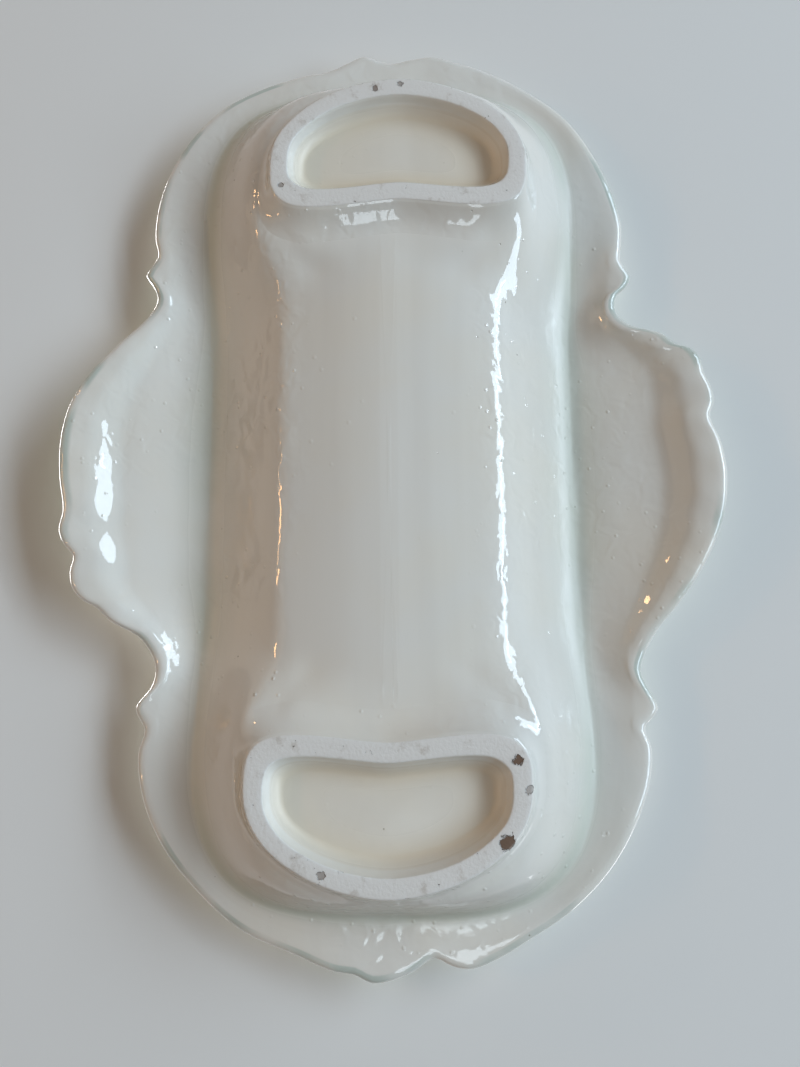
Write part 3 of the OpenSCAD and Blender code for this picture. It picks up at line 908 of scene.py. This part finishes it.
def one_sided_plane(name, height, faces_up):
    """A square plane that only the camera sees, and only from its front. Reflections
    and light pass it, so that the lamps on its far side show in the glaze."""
    corners = [(x, y, height) for x, y in ((-stage_half, -stage_half), (stage_half, -stage_half),
                                           (stage_half, stage_half), (-stage_half, stage_half))]
    mesh = bpy.data.meshes.new(name)
    mesh.from_pydata(corners, [], [(0, 1, 2, 3) if faces_up else (3, 2, 1, 0)])
    plane = bpy.data.objects.new(name, mesh)
    bpy.context.scene.collection.objects.link(plane)
    material = bpy.data.materials.new(name)
    tree = Tree(material)
    from_camera = tree.node("ShaderNodeLightPath")
    back = tree.node("ShaderNodeNewGeometry", output=6)
    clear = tree.node("ShaderNodeBsdfTransparent")
    solid = tree.node("ShaderNodeBsdfDiffuse", {}, {"Color": (*stage_colour, 1)})
    surface = tree.node("ShaderNodeMixShader", {}, {0: from_camera * (1 - back), 1: clear, 2: solid})
    tree.node("ShaderNodeOutputMaterial", {}, {"Surface": surface})
    mesh.materials.append(material)
    plane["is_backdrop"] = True


one_sided_plane("floor", -floor_gap, True)
one_sided_plane("table_behind", dish_height * MM + behind_gap, False)


# Area lamps, in metres: name, place, width, height, power and colour. Those below light
# the underside, cool from one side and warm from the other
lamp_aim = (0, 0, 0.02)
area_lamps = [
    ("wide_window_below", (0.40, 2.22, -1.38), 3.6, 0.9, 80, (0.70, 0.86, 1.0)),
    ("bright_slit_below", (0.60, 2.22, -1.34), 1.2, 0.08, 6, (0.90, 0.96, 1.0)),
    ("near_pane_below", (-0.72, 0.10, -1.10), 0.1, 0.8, 1.1, (0.80, 0.92, 1.0)),
    ("warm_fill_below", (0.0, -1.60, -0.70), 2.4, 1.4, 4.6, (1.0, 0.84, 0.66)),
    ("warm_lamp_below", (0.20, -1.10, -0.64), 0.28, 0.06, 1.0, (1.0, 0.52, 0.2)),
    ("small_lamp_below", (0.80, -1.0, -0.60), 0.06, 0.08, 0.35, (1.0, 0.55, 0.25)),
    ("side_lamp_below", (-0.35, -1.08, -0.62), 0.06, 0.08, 0.35, (1.0, 0.55, 0.25)),
    ("softbox_above", (0.5, -0.9, 1.5), 0.9, 0.9, 4, (1.0, 0.99, 0.97)),
    ("window_above", (-0.9, 0.9, 1.0), 0.5, 0.8, 3, (0.92, 0.96, 1.0))]

# The even light from above: where it comes from, its strength, width and colour
sun_place = (0.3, -0.4, 1.0)
sun_strength = 2.3
sun_width = 0.6
sun_colour = (1.0, 0.99, 0.97)


def hang_lamp(name, data, place, aim):
    """Puts a lamp at a place, facing its aim."""
    lamp = bpy.data.objects.new(name, data)
    lamp.location = place
    lamp.rotation_mode = "QUATERNION"
    lamp.rotation_quaternion = (Vector(place) - Vector(aim)).to_track_quat("Z", "Y")
    bpy.context.scene.collection.objects.link(lamp)


def light_dish():
    """Hangs the area lamps and the even light."""
    for name, place, width, height, power, colour in area_lamps:
        data = bpy.data.lights.new(name, "AREA")
        data.shape, data.size, data.size_y = "RECTANGLE", width, height
        data.energy, data.color = power, colour
        hang_lamp(name, data, place, lamp_aim)
    data = bpy.data.lights.new("even_light_above", "SUN")
    data.energy, data.angle, data.color = sun_strength, sun_width, sun_colour
    hang_lamp("even_light_above", data, sun_place, (0, 0, 0))


light_dish()

# The world: what lights the dish, and what the camera, gloss and clear things see
dim_room = (0.085, 0.075, 0.065)
pale_room = (0.80, 0.80, 0.80)


def make_world():
    """A world that is pale to the camera and to reflections, and dim as a light."""
    world = bpy.data.worlds.new("pale_room")
    bpy.context.scene.world = world
    tree = Tree(world)
    camera_ray, glossy_ray, through_ray = (
        tree.node("ShaderNodeLightPath", output=place) for place in (0, 3, 6))
    shown = camera_ray.math("MAXIMUM", glossy_ray).math("MAXIMUM", through_ray)
    room = tree.tint(shown, dim_room, pale_room)
    sky = tree.node("ShaderNodeBackground", {}, {"Color": room, "Strength": 1.0})
    tree.node("ShaderNodeOutputWorld", {}, {"Surface": sky})


make_world()

# The camera below the dish, in millimetres, as the photograph was taken
camera_place = np.array([-69.5, 8.1, -271.9])
camera_aim = np.array([-21.8, 3.4, 27.0])
camera_top = np.array([1.0, 0.0078, 0.0])
photo_height = 1067
focal_pixels = 800
sensor = 36.0


def make_camera():
    """The camera, turned so that the dish's length runs up the picture."""
    forward = camera_aim - camera_place
    forward = forward / np.linalg.norm(forward)
    right = np.cross(forward, camera_top)
    right = right / np.linalg.norm(right)
    up = np.cross(right, forward)
    data = bpy.data.cameras.new("camera")
    data.sensor_width = sensor
    data.lens = focal_pixels / photo_height * sensor
    data.clip_start = 0.01
    camera = bpy.data.objects.new("camera", data)
    matrix = np.eye(4)
    matrix[:3, 0], matrix[:3, 1], matrix[:3, 2] = right, up, -forward
    matrix[:3, 3] = camera_place * MM
    camera.matrix_world = matrix.T
    bpy.context.scene.collection.objects.link(camera)
    bpy.context.scene.camera = camera


make_camera()
bpy.context.scene.view_settings.view_transform = "Standard"
